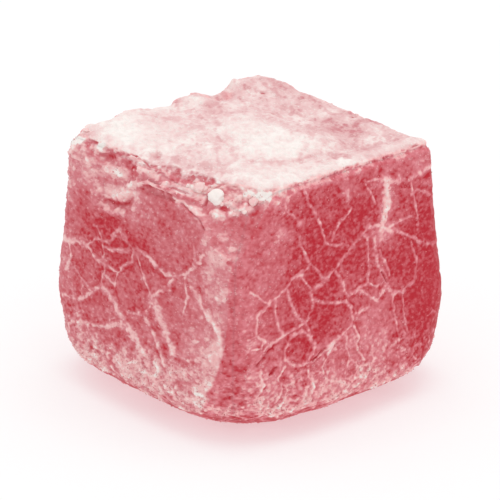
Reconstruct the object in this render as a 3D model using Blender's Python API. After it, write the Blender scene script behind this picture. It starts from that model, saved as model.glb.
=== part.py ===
"""One cube of rose turkish delight: a single block of starch jelly, dusted all over.

The slab was cut square with a long knife. Since then the soft block has slumped a little, so that
it is widest and roundest near its base, and its cut rims are the crispest part of it. It stands
on a flat base at z = 0, centred on the origin, with its two straightest sides facing +X and -Y.
"""
import bmesh
import bpy
import numpy as np

MM = 0.001

# The cut block before it slumped.
WIDTH = 24.2 * MM           # along X, at the base
DEPTH = 24.0 * MM           # along Y, at the base
HEIGHT = 21.1 * MM
TOP_SHARE = 0.88            # width of the top as a share of the base

# How it slumped.
BELLY_HEIGHT = 3.7 * MM     # the widest level
SIDE_BULGE = 0.93 * MM      # how far a side's middle stands out at the belly
TWIST = 0.022               # radians that the top is turned against the base

# Roundness of its edges.
BASE_CORNER_ROUND = 6.8 * MM    # upright corners at the base, seen from above
SIDE_CORNER_ROUND = 1.7 * MM    # upright corners at half height
RIM_ROUND = 1.1 * MM            # the cut rims round the top
BASE_EDGE_ROUND = 3.9 * MM      # how high the sides start to turn under
CORNER_FIRMS_UP = 0.44          # share of the height over which the base corners tighten
RIM_STARTS = 0.6                # share of the height where the corners turn into rims

# Paler facets where a knife or a thumb pared an edge: a point on each, the way it faces, and how
# softly its borders run out.
PARED = (
    # The broad shoulder over the front corner of the -Y rim.
    {"through": (10.3, -10.6, 16.3), "facing": (0.32, -0.71, 0.62), "softness": 0.5},
    # The narrow bevel along the rest of the -Y rim.
    {"through": (-3.5, -10.9, 20.3), "facing": (0.0, -0.72, 0.69), "softness": 0.5},
)

# Swellings and hollows, in millimetres: a centre, how far each reaches, and which way it moves
# the surface at its centre.
SWELLINGS = (
    # Lumps along the torn -X rim, with the notches between them.
    {"centre": (-10.2, -4.2, 21.0), "reach": 2.6, "rise": (-0.20, 0.0, 0.40)},
    {"centre": (-9.2, -0.9, 21.1), "reach": 1.3, "rise": (0.45, 0.0, -0.35)},
    {"centre": (-10.1, 1.9, 21.0), "reach": 1.6, "rise": (-0.25, 0.0, 0.45)},
    {"centre": (-9.4, 4.1, 21.1), "reach": 1.2, "rise": (0.55, 0.0, -0.65)},
    {"centre": (-9.8, 7.6, 21.0), "reach": 2.6, "rise": (0.0, 0.0, 0.42)},
    # The low mound across the middle of the top, and the dip behind it.
    {"centre": (-2.0, 0.6, 21.1), "reach": 3.6, "rise": (0.0, 0.0, 0.42)},
    {"centre": (3.6, 3.6, 21.1), "reach": 3.0, "rise": (0.0, 0.0, 0.30)},
    {"centre": (-0.6, 6.6, 21.1), "reach": 2.6, "rise": (0.0, 0.0, -0.30)},
    # The hollow behind the -Y rim, and the thumb mark that folded the side under it.
    {"centre": (2.8, -9.2, 21.0), "reach": 2.0, "rise": (0.0, 0.25, -0.45)},
    {"centre": (-3.4, -11.2, 18.4), "reach": 2.4, "rise": (0.0, 0.45, -0.10)},
    # Slack in the two sides that face away.
    {"centre": (-12.2, -2.5, 12.0), "reach": 5.5, "rise": (0.42, 0.0, 0.0)},
    {"centre": (-12.0, 5.5, 7.0), "reach": 4.5, "rise": (-0.22, 0.0, 0.0)},
    {"centre": (3.0, 12.0, 13.0), "reach": 5.0, "rise": (0.0, -0.38, 0.0)},
    {"centre": (-5.5, 12.2, 8.0), "reach": 4.5, "rise": (0.0, 0.22, 0.0)},
    # The +X side leans out over its base near the front corner.
    {"centre": (12.4, -3.2, 2.6), "reach": 4.2, "rise": (0.30, -0.10, 0.0)},
)

# Folds: a crest or a crease along a line from start to end, its half width, and its lift.
FOLDS = (
    # The lip under the pared rim of the -Y side.
    {"start": (-1.5, -10.9, 19.0), "end": (4.2, -10.9, 19.4), "half_width": 1.0, "lift": (0.0, -0.30, 0.05)},
    {"start": (4.2, -10.9, 19.4), "end": (9.4, -10.9, 16.8), "half_width": 1.0, "lift": (0.0, -0.26, 0.0)},
    # The edge of the low step that runs across the top.
    {"start": (-2.5, -7.6, 21.0), "end": (5.3, -1.4, 21.0), "half_width": 1.0, "lift": (0.0, 0.0, -0.24)},
    {"start": (5.3, -1.4, 21.0), "end": (8.0, 6.8, 21.0), "half_width": 1.0, "lift": (0.0, 0.0, -0.20)},
)

CUTS_PER_SIDE = 25              # each side becomes a grid of 26 by 26 faces
EDGE_CROWDING = 0.35            # how much closer together the grid lines are near the edges
LEVEL_WITHIN = 0.02 * MM        # what lies this close to the base plane is part of it
JELLY_COLOUR = (0.62, 0.09, 0.12, 1.0)
JELLY_ROUGHNESS = 0.55


def ease(share):
    """Run smoothly from 0 to 1, level at both ends."""
    share = np.clip(share, 0.0, 1.0)
    return share * share * (3.0 - 2.0 * share)


def crowd_towards_edges(grid):
    """Slide evenly spaced grid lines outwards, so that the rounded edges get more of them."""
    return grid + EDGE_CROWDING * np.sin(np.pi * grid) / np.pi


def corner_rounding(level):
    """Radii along X, Y and Z for points whose level runs from -1 at the base to 1 at the top."""
    height_share = (level + 1.0) / 2.0
    tighten = ease(height_share / CORNER_FIRMS_UP)
    sharpen = ease((height_share - RIM_STARTS) / (1.0 - RIM_STARTS))
    plan = BASE_CORNER_ROUND + (SIDE_CORNER_ROUND - BASE_CORNER_ROUND) * tighten
    plan = plan + (RIM_ROUND - SIDE_CORNER_ROUND) * sharpen
    upright = np.where(level < 0.0, BASE_EDGE_ROUND, RIM_ROUND)
    return np.stack([plan, plan, upright], axis=1)


def cut_block(grid):
    """Turn points of the cube from -1 to 1 into a block whose edges are rounded by level.

    Each point goes to its place on the sharp block. The part of it that lies outside the block
    shrunk by the radii is then bent onto an ellipsoid with those radii.
    """
    half = np.array([WIDTH, DEPTH, HEIGHT]) / 2.0
    radii = corner_rounding(grid[:, 2])
    sharp = grid * half
    core = np.clip(sharp, radii - half, half - radii)
    outside = (sharp - core) / radii
    block = core + radii * outside / np.linalg.norm(outside, axis=1, keepdims=True)
    block[:, 2] += HEIGHT / 2.0
    return block


def slump(points):
    """Narrow the block above its belly, bulge its sides there, and turn its top a little."""
    x, y, z = points.T
    above_belly = np.clip((z - BELLY_HEIGHT) / (HEIGHT - BELLY_HEIGHT), 0.0, 1.0)
    narrowing = 1.0 - (1.0 - TOP_SHARE) * above_belly
    bulge = SIDE_BULGE * (1.0 - above_belly)
    across = 2.0 * x / WIDTH
    along = 2.0 * y / DEPTH
    slumped_x = x * narrowing + bulge * across * (1.0 - along**2)
    slumped_y = y * narrowing + bulge * along * (1.0 - across**2)
    turn = TWIST * (z / HEIGHT - 0.5)
    turned_x = slumped_x * np.cos(turn) - slumped_y * np.sin(turn)
    turned_y = slumped_x * np.sin(turn) + slumped_y * np.cos(turn)
    return np.stack([turned_x, turned_y, z], axis=1)


def pare(points, through, facing, softness):
    """Bring back whatever stands beyond a plane, with borders that run out softly."""
    normal = np.array(facing) / np.linalg.norm(facing)
    height = (points - np.array(through) * MM) @ normal
    soft = softness * MM
    pared = -soft * np.logaddexp(0.0, -height / soft)
    return points + np.outer(pared - height, normal)


def swell(points, centre, reach, rise):
    """Move the surface by rise at the centre, fading with distance as a bell curve."""
    distance = np.linalg.norm(points - np.array(centre) * MM, axis=1)
    bell = np.exp(-(distance / (reach * MM)) ** 2)
    return points + np.outer(bell, np.array(rise) * MM)


def fold(points, start, end, half_width, lift):
    """Lift the surface along the line from start to end, as a bell curve across it."""
    start = np.array(start) * MM
    run = np.array(end) * MM - start
    share = np.clip((points - start) @ run / (run @ run), 0.0, 1.0)
    distance = np.linalg.norm(points - start - np.outer(share, run), axis=1)
    bell = np.exp(-(distance / (half_width * MM)) ** 2)
    return points + np.outer(bell, np.array(lift) * MM)


def stand_at_origin(points):
    """Press the underside level at z = 0 and centre the whole box over the origin."""
    points[points[:, 2] < LEVEL_WITHIN, 2] = 0.0
    points[:, :2] -= (points[:, :2].min(axis=0) + points[:, :2].max(axis=0)) / 2.0
    return points


def delight_surface(grid):
    """The whole shape, from the cut block to its last knife mark."""
    points = slump(cut_block(grid))
    for facet in PARED:
        points = pare(points, **facet)
    for swelling in SWELLINGS:
        points = swell(points, **swelling)
    for crest in FOLDS:
        points = fold(points, **crest)
    return stand_at_origin(points)


def jelly_material():
    """Rose jelly under a thin coat of starch."""
    material = bpy.data.materials.new("rose_jelly")
    material.use_nodes = True
    shader = material.node_tree.nodes["Principled BSDF"]
    shader.inputs["Base Color"].default_value = JELLY_COLOUR
    shader.inputs["Roughness"].default_value = JELLY_ROUGHNESS
    shader.inputs["Metallic"].default_value = 0.0
    return material


def delight_cube():
    """Cut a cube into a fine grid and move its points onto the block's surface."""
    mesh = bpy.data.meshes.new("delight_cube")
    model = bmesh.new()
    bmesh.ops.create_cube(model, size=2.0)
    bmesh.ops.subdivide_edges(model, edges=model.edges, cuts=CUTS_PER_SIDE, use_grid_fill=True)
    grid = np.array([vertex.co for vertex in model.verts])
    surface = delight_surface(crowd_towards_edges(grid))
    for vertex, place in zip(model.verts, surface):
        vertex.co = place
    bmesh.ops.triangulate(model, faces=model.faces)
    bmesh.ops.recalc_face_normals(model, faces=model.faces)
    model.to_mesh(mesh)
    model.free()
    mesh.shade_smooth()
    mesh.materials.append(jelly_material())
    block = bpy.data.objects.new("delight_cube", mesh)
    bpy.context.scene.collection.objects.link(block)
    return block


for leftover in list(bpy.data.objects):
    bpy.data.objects.remove(leftover)

delight_cube()
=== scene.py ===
"""Looks of one rose turkish delight cube: soft starch jelly under a dusting of starch and sugar.

Shapes are worked out in millimetres and become metres as each mesh is made. +X and -Y are the
two sides that face the camera, and the top carries the thick starch.
"""
import math

import bpy
import numpy as np
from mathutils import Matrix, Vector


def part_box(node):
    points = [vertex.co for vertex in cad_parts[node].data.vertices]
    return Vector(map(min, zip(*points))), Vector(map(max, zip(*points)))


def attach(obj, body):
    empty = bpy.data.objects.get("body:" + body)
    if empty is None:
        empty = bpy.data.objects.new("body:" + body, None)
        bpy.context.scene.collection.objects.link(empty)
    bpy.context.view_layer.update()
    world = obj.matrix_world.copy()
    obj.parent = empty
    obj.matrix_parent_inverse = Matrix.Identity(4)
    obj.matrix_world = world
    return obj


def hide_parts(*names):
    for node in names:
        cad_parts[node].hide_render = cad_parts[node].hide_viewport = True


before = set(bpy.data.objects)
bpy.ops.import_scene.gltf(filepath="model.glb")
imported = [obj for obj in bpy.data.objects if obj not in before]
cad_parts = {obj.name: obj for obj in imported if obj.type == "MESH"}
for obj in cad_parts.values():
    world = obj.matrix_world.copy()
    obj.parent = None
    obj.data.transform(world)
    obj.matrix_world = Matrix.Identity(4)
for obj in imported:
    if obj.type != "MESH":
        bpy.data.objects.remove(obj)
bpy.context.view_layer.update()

# ---- The jelly block ----
# Set starch jelly, dyed rose red, was cut square with a long knife. The soft block has slumped:
# widest and roundest near its base, crisp at its cut rims, torn along the -X rim. Its drying
# skin has wrinkled into a net of fine creases, and this block is what lies just below that skin.

MM = 0.001
BOX_LOW, BOX_HIGH = (np.array(corner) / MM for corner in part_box("delight_cube"))
BOX_SIZE = BOX_HIGH - BOX_LOW

CUT_SHARE = np.array([0.922, 0.927, 0.981])  # of the finished box: the block before it slumped
WIDTH, DEPTH, HEIGHT = BOX_SIZE * CUT_SHARE
TOP_SHARE = 0.88  # width of the top as a share of the base
BELLY_HEIGHT = 3.7  # the widest level
SIDE_BULGE = 0.93
TWIST = 0.022  # radians that the top is turned against the base
BASE_CORNER_ROUND = 6.8
SIDE_CORNER_ROUND = 1.7
RIM_ROUND = 1.0
BASE_EDGE_ROUND = 3.9
CORNER_FIRMS_UP = 0.44  # share of the height where the base's rounding has run out
RIM_STARTS = 0.6  # share of the height where the corners begin to tighten to the rim
SKIN_CELLS = 64  # squares along each edge of the block
SUNK = 0.15  # how far the block lies below its skin

# Facets pared off by a knife or a thumb: a point on each, the way it faces, and its softness.
PARED = (
    ((10.3, -10.6, 16.3), (0.32, -0.71, 0.62), 0.22), ((-3.5, -10.9, 20.3), (0, -0.72, 0.69), 0.25),
)

# Swellings and hollows: a centre, how far each reaches, and how far it moves the surface.
SWELLINGS = (
    # Lumps along the torn -X rim, with the notches between them.
    ((-10.2, -4.2, 21), 2.6, (-0.2, 0, 0.4)), ((-9.2, -0.9, 21.1), 1.3, (0.45, 0, -0.35)),
    ((-10.1, 1.9, 21), 1.6, (-0.25, 0, 0.45)), ((-9.4, 4.1, 21.1), 1.2, (0.55, 0, -0.65)),
    ((-9.8, 7.6, 21), 2.6, (0, 0, 0.42)),
    # The low mound across the middle of the top, and the dip behind it.
    ((-2, 0.6, 21.1), 3.6, (0, 0, 0.42)), ((3.6, 3.6, 21.1), 3, (0, 0, 0.3)),
    ((-0.6, 6.6, 21.1), 2.6, (0, 0, -0.3)),
    # The hollow behind the -Y rim, and the thumb mark that folded the side under it.
    ((2.8, -9.2, 21), 2, (0, 0.25, -0.45)), ((-3.4, -11.2, 18.4), 2.4, (0, 0.45, -0.1)),
    ((-5.2, -11, 17.6), 1.1, (0, 0.25, 0)),
    # Slack in the two sides that face away.
    ((-12.2, -2.5, 12), 5.5, (0.42, 0, 0)), ((-12, 5.5, 7), 4.5, (-0.22, 0, 0)),
    ((3, 12, 13), 5, (0, -0.38, 0)), ((-5.5, 12.2, 8), 4.5, (0, 0.22, 0)),
    # The +X side leans out over its base near the front corner.
    ((12.4, -3.2, 2.6), 4.2, (0.3, -0.1, 0)),
)

# Folds: the half width of a crest or a crease, its lift, and the corners of its line.
FOLDS = (
    # The lip under the pared rim of the -Y side, and the groove below it.
    (0.36, (0, -0.26, 0.12), (-3.3, -10.8, 17.8), (-2.3, -10.9, 18.5), (-1.2, -10.9, 19.3),
     (0.2, -10.8, 19.75), (2.4, -10.5, 19.8), (4.8, -10.1, 19.7)),
    (0.26, (0, 0.24, -0.05), (-1.6, -11, 19), (0.9, -10.9, 19.3), (3.3, -10.8, 19.3)),
    (0.45, (0.05, -0.2, 0.08), (3.3, -10.9, 19.2), (6.3, -10.5, 18.6), (7.4, -10.6, 17.8),
     (8.4, -10.9, 16.9), (10, -10.9, 16.2)),
    # Ridges that the thumb pushed up, with the groove between them.
    (0.4, (0, -0.28, 0), (-6.4, -11, 17), (-4.4, -11.1, 17.4), (-2.6, -11, 18)),
    (0.24, (0, 0.3, 0), (-5.2, -11.1, 16.5), (-3.5, -11.1, 16.6), (-2.4, -11.1, 17.2),
     (-1.9, -11, 17.8)),
    (0.3, (0, -0.2, 0), (-6.2, -11.2, 15.8), (-4.4, -11.3, 15.9), (-2.4, -11.2, 16.4)),
    (0.35, (0, -0.14, 0), (-8.3, -10.9, 18.9), (-7.4, -10.9, 17.6), (-6.2, -11, 16.2)),
    (0.4, (0, 0.24, -0.1), (-6.2, -10.6, 20.1), (-2.4, -10.6, 20.2)),
    # The edge of the low step that runs across the top, and a nick by the -Y rim.
    (0.9, (0, 0, -0.16), (-0.6, -7.2, 21), (2, -5.2, 21), (6.4, -2.4, 21), (7.6, 1, 21), (8.2, 4, 21)),
    (0.45, (0, 0, -0.24), (-2.8, -7.6, 21), (-1.6, -8.8, 21), (-0.7, -9.5, 20.9)),
    (0.8, (0, 0, -0.16), (-7, 1.8, 21.2), (-5, 0.2, 21.1), (-3, -1.2, 21)),
)

# Creases in the skin that hold starch: a half width and the corners of the line, on the +X side
# as (y, z), and on the -Y side and its shoulder as (x, z).
CREASES_PLUS_X = (
    # Branches from the top rim down to the long crease, and the long crease itself.
    (0.14, (-3.3, 20.2), (-3.1, 19.2), (-2.4, 18.2), (-2, 17.5), (-1.8, 16.6), (-1.6, 15.7)),
    (0.15, (1.4, 17.7), (0.1, 17), (-0.5, 16.4), (-0.9, 15.6)),
    (0.15, (-1.6, 15.6), (-0.8, 15.2), (0.6, 14.9)),
    (0.2, (4.2, 15.6), (3.1, 15.8), (2, 15.3), (1, 14.6), (0.3, 14.2), (-0.5, 13.5), (-1.3, 13),
     (-2.4, 12.5), (-3.4, 12.1)),
    (0.15, (-4.3, 16.9), (-4.2, 16), (-3.7, 15), (-3.5, 14.3)),
    (0.17, (-3.4, 14.3), (-4.3, 13.7), (-5.3, 13.5), (-6, 12.8), (-7.1, 12.4), (-8, 12)),
    (0.13, (-3.4, 14.3), (-2.8, 13.5), (-2.2, 12.7)), (0.13, (-4.3, 13.2), (-3.5, 12.2)),
    # The cells below the long crease.
    (0.17, (-5.9, 12.7), (-5.6, 11.6), (-5.3, 10.5), (-4.3, 9.6), (-4.1, 8.8), (-3.8, 7.7),
     (-3.9, 6.9)),
    (0.15, (-3.4, 11.3), (-2.2, 10.7), (-1.1, 10.5), (0.1, 10.3), (0.5, 9.6), (0.6, 8.8), (0.3, 8.2)),
    (0.13, (-3.4, 11.3), (-3.7, 10.6), (-4.2, 9.7)), (0.12, (-3.4, 12.1), (-3.5, 11.4), (-3.4, 11.3)),
    (0.15, (-0.8, 13), (-0.4, 12.3), (-0.1, 11.3), (0.3, 10.7)),
    (0.16, (0.3, 10.6), (1.4, 11), (2.5, 11.3), (2.8, 12.7), (2.8, 14.1), (2.6, 15.2)),
    (0.18, (3.5, 14.8), (3.6, 13.2), (3.7, 12.4), (4.1, 11.4), (4.5, 10.5)),
    (0.15, (1.4, 10.9), (2.3, 10.2), (3.3, 9.5), (3.9, 10.2), (4.6, 10.6)),
    (0.13, (4, 13.6), (4.5, 12.2), (4.9, 11.2)),
    (0.17, (4.5, 10.5), (5, 9.7), (6.1, 9.5), (7.3, 10), (7.8, 10.8), (7.9, 12.1), (7.5, 13.4)),
    (0.12, (2.5, 11.3), (3.2, 10.7), (4.3, 10.9)),
    # Right of the band of starch.
    (0.2, (4.8, 15.2), (6.1, 14.6), (7.8, 13.6), (8.9, 12.8), (10.4, 12.5)),
    (0.14, (5.3, 15.3), (6.4, 15.5), (7.8, 15.5)),
    (0.15, (7.9, 18.5), (8.2, 16.8), (8.4, 15.7), (8.4, 14.2)),
    (0.16, (7.9, 17.2), (8.6, 17.5), (9.5, 17.1), (10.4, 16.4)),
    (0.24, (5, 19.6), (5.7, 18.9), (6.7, 18.8), (7.5, 18.5), (8.9, 18.8), (10.4, 19.1)),
    (0.4, (5.1, 19.4), (5.3, 18), (5.2, 16.8)), (0.28, (5, 16.8), (4.7, 16), (4.4, 15.2)),
    (0.13, (3.9, 17.6), (3.4, 18.7), (3, 19.5), (4.4, 19.5)),
    # The round cell low down by the front corner, and what leads to it.
    (0.13, (-6, 8.8), (-6.6, 8), (-6.6, 7.1), (-5.8, 6.4), (-4.3, 6.3), (-4, 7.1)),
    (0.13, (-6, 8.8), (-4.8, 9.1), (-4.2, 8.6)),
    (0.18, (0.3, 8.2), (-0.5, 7.8), (-1.9, 7.3), (-3, 6.7), (-4, 6.3)),
    (0.13, (-8.6, 8.3), (-7.4, 8.8), (-6.5, 9.1), (-5.5, 9.4), (-4.4, 9.5)),
    (0.13, (-7.1, 12.3), (-7.3, 11), (-7, 9.8), (-6.5, 9.1)),
    (0.1, (-10, 9.5), (-9.2, 9.7), (-8.5, 9.1), (-8.9, 8.5), (-9.9, 8.7)),
    (0.13, (-8, 12), (-9, 11.2), (-9.2, 9.8)), (0.13, (-9.6, 13.4), (-8.6, 12.6), (-8, 12.1)),
    (0.1, (-9, 6.8), (-9.1, 6), (-8.8, 5.4), (-9.4, 4.4)),
    (0.1, (-6.7, 6.6), (-7.5, 5.8), (-7.2, 4.8), (-7.9, 3.8)),
    (0.1, (-4.3, 6.3), (-4.6, 5.2), (-4.1, 4.2)),
    # Short creases in the thick starch low down.
    (0.1, (-1.9, 7.2), (-2.5, 6.4), (-3.1, 5.6), (-3, 4.6)),
    (0.1, (-0.3, 7.7), (-0.5, 6.6), (-0.2, 5.6), (-0.9, 4.5)),
    (0.1, (0.5, 8.2), (0.9, 7.2), (0.7, 6), (1.4, 5)), (0.1, (5, 9.6), (5, 8), (5.2, 6.6), (5.3, 5.5)),
    (0.1, (6.1, 9.4), (6.1, 7.8), (6.3, 6.2)), (0.12, (0.6, 8.8), (1.5, 9.2), (2.4, 9.4)),
)
CREASES_MINUS_Y = (
    (0.19, (-5, 13.2), (-4.2, 13.4), (-3, 14.9), (-1.2, 13.9), (1, 13.7), (3.2, 13), (5.2, 13.5),
     (6.4, 14.3), (7.6, 15.8)),
    (0.24, (-10.4, 11.8), (-8.4, 12.2), (-6.8, 12.5)),
    (0.15, (-6.8, 12.5), (-5.6, 11.5), (-4.4, 11.6), (-2.6, 11.5), (-1, 12.9), (-0.8, 13.7)),
    (0.11, (-5.9, 14.4), (-5, 13.3), (-4.6, 12.4), (-4.7, 11.6)),
    (0.16, (-6.8, 12.5), (-5.9, 13.2), (-5, 13.3)), (0.16, (-4.6, 12.9), (-2.4, 13.2), (-1.2, 13.6)),
    (0.12, (-0.4, 13.4), (0.3, 12.4), (1.3, 11.5), (1.9, 10.6)),
    (0.1, (-4.4, 11.6), (-4.2, 10.6), (-2.8, 10.3), (-2.6, 11.4)),
    (0.36, (-4.5, 9.7), (-3, 8.9), (-1.2, 7.8), (0.6, 6.6), (2.3, 5.3)),
    (0.2, (-4.5, 9.7), (-5.5, 8.8), (-6.6, 8), (-8, 7.4), (-9.9, 7.1)),
    (0.16, (-4.5, 9.7), (-4.4, 10.6)), (0.18, (-0.8, 8.4), (0.2, 8.8), (1.3, 8.9), (1.9, 9.8)),
    (0.22, (1.2, 9), (2.4, 7.9), (3.6, 6.7), (4.2, 5.8)),
    (0.44, (1.9, 10.5), (2.8, 9.7), (4, 8.4), (5.2, 6.9)),
    (0.2, (1.9, 10.5), (2.8, 11.4), (3.8, 11.9), (4.1, 13)),
    (0.26, (6.6, 12.8), (8.2, 11.5), (9.4, 10.5), (10.2, 9.4), (10.4, 8.2)),
    (0.14, (5.6, 13.3), (6.1, 12), (5.8, 10.6)), (0.17, (6.3, 16.3), (6.6, 15.3), (6.3, 14.2)),
    (0.2, (-8.6, 5), (-7.1, 5.7), (-5.2, 6), (-3.3, 6.6), (-1.9, 7.1), (-1, 7.4)),
    (0.16, (-8.4, 10), (-7, 9.4), (-5.6, 8.7)), (0.15, (-9.6, 9.4), (-9, 10.8), (-9.4, 11.8)),
    # The rim of the dent, from left to right.
    (0.28, (-5.8, 16.3), (-4.4, 15.9), (-2.6, 16.3)),
    # The lip of the shoulder, the pale band below it, and the ripples above it.
    (0.22, (-2.8, 18.6), (-1.2, 19.2), (0, 19.7), (1.6, 19.7), (3.2, 19.9), (5, 19.9), (6, 19.7)),
    (0.14, (3, 19.3), (5, 19.2), (6.4, 18.8)), (0.22, (-2.4, 20.1), (-0.9, 20.4), (0.8, 20.3)),
    (0.2, (1.6, 20.1), (3.2, 20.2), (4.6, 20.2), (5.9, 20.3)),
    (0.2, (7, 19), (8, 18.9), (8.8, 19.2), (9, 19.8)),
)
# Lines that hold no starch and show dark red: folds, where the dark red is painted shade, and dry cracks.
FOLD_SHADES_AND_CRACKS_PLUS_X = (
    (0.2, (-9.2, 7.2), (-7.6, 8.4)), (0.13, (-3.9, 6.4), (-2.6, 7)), (0.1, (4, 11.7), (4.5, 10.7)),
    (0.12, (-8.3, 6.2), (-7.6, 6.7)),
)
FOLD_SHADES_AND_CRACKS_MINUS_Y = (
    (0.25, (-5, 16.6), (-3.5, 16.7), (-2.7, 17.1), (-2.1, 17.6)),
    (0.11, (-0.6, 19.2), (0.8, 19.4), (2.6, 19.45)),
    (0.08, (4.2, 19.1), (5.4, 18.9), (6.4, 18.4), (7.2, 17.8)), (0.24, (-6.6, 20.2), (-5, 20.3)),
    (0.3, (-3.9, 20.3), (-2.3, 20.4)), (0.13, (6.3, 20.6), (5.9, 19.9), (6.1, 19.3)),
)

SIDE_COVER = 0.24  # how much starch an ordinary stretch of side holds, from 0 to 1
# Where a side holds more starch or less, and a few places where less starch is painted shade, as noted: a
# centre and a reach, each along both directions of the side, and how much. The directions are y and z on
# the +X side, x and z on the -Y side.
PATCHES_PLUS_X = (
    # Broad stretches, then single cells between creases, then spots of starch.
    # Of these, the patches that take starch away near y 8, z 4 and y 8.6, z 7.4 are painted shade by the
    # far edge of +X, and the bare patch at y 9.8, z 8.4 is bare jelly deepened by painted shade.
    (-0.5, 15.5, 5.5, 5, -0.15), (9.8, 8.4, 2.4, 3.6, -0.38), (9.8, 13.5, 2.2, 3.2, -0.26),
    (6.4, 12.6, 2.2, 2, -0.2), (-6.5, 4.5, 4.5, 2.4, 0.17), (0.5, 4.8, 3.5, 2.6, 0.1),
    (-9.6, 9.6, 1.9, 4.4, 0.2), (8, 4, 2, 2.6, -0.26), (-8.4, 15.5, 2.2, 3, 0.11),
    (-1, 11, 3.5, 1.8, -0.06), (6.2, 8, 1.2, 2, -0.08), (8.4, 16.2, 1.6, 1.4, -0.1),
    (-2.2, 9.6, 1.7, 1.6, -0.13), (-5.5, 7.7, 1.2, 1.1, -0.13), (7, 17.2, 0.9, 1.1, -0.1),
    (1.4, 13.2, 1.1, 1.6, -0.08), (2.8, 17.6, 1.5, 1.1, -0.07), (-3.2, 17.2, 0.8, 1.2, -0.07),
    (-1.3, 14.3, 1.1, 0.7, -0.1), (-4.6, 11.9, 0.7, 0.5, -0.12), (-5.6, 14, 1.3, 0.5, -0.1),
    (-1.5, 11.6, 1.3, 0.3, -0.1), (-5, 19.4, 1.6, 0.7, -0.1), (7.4, 8.3, 1.3, 1.4, -0.12),
    (5.3, 17.8, 0.65, 1.6, 0.42), (4.6, 15.1, 1.1, 0.8, 0.42), (4.6, 16.6, 0.4, 0.8, 0.3),
    (1.1, 18.8, 0.3, 0.8, 0.4), (-6.1, 17.3, 0.7, 0.5, 0.32), (-4, 17.9, 0.4, 0.3, 0.35),
    (-2, 6.9, 0.5, 0.5, 0.2), (-4.3, 13.5, 0.3, 0.2, 0.6), (0.6, 7, 0.4, 0.9, 0.22),
    (-9, 9.2, 0.9, 0.4, 0.22), (1.6, 4.2, 1.4, 0.7, 0.14), (3.6, 6.2, 0.5, 1.4, 0.18),
    (-7, 10.4, 0.7, 1.1, 0.12), (-6.2, 5.2, 0.9, 0.5, 0.14), (2.4, 6.8, 2.8, 1.9, 0.07),
    (-5, 12.8, 0.8, 0.8, 0.15), (-1.2, 15.3, 2.2, 0.8, 0.09), (1.4, 18.4, 1, 0.7, 0.08),
    (-5.6, 17, 0.8, 0.9, 0.08), (-7.4, 6.4, 0.9, 0.8, 0.14), (8.8, 18.6, 1.2, 0.8, 0.07),
    (8.7, 12.8, 0.9, 1, -0.11), (-1.2, 3.2, 1.3, 0.9, -0.13), (-8.6, 4, 0.9, 1, -0.09),
    (5.4, 15.9, 0.7, 0.6, -0.08), (-3.4, 6, 1.4, 0.7, 0.06), (0.6, 9.9, 0.8, 0.6, 0.06),
    (-4.8, 3.9, 0.7, 0.7, -0.07), (2.4, 11.1, 0.6, 0.6, 0.05), (8.6, 7.4, 1.6, 2, -0.05),
    (9.2, 19.4, 1.8, 0.7, 0.16), (0, 20.8, 9, 0.6, 0.16), (-3.9, 6.8, 0.5, 0.3, 0.22),
)
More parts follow.
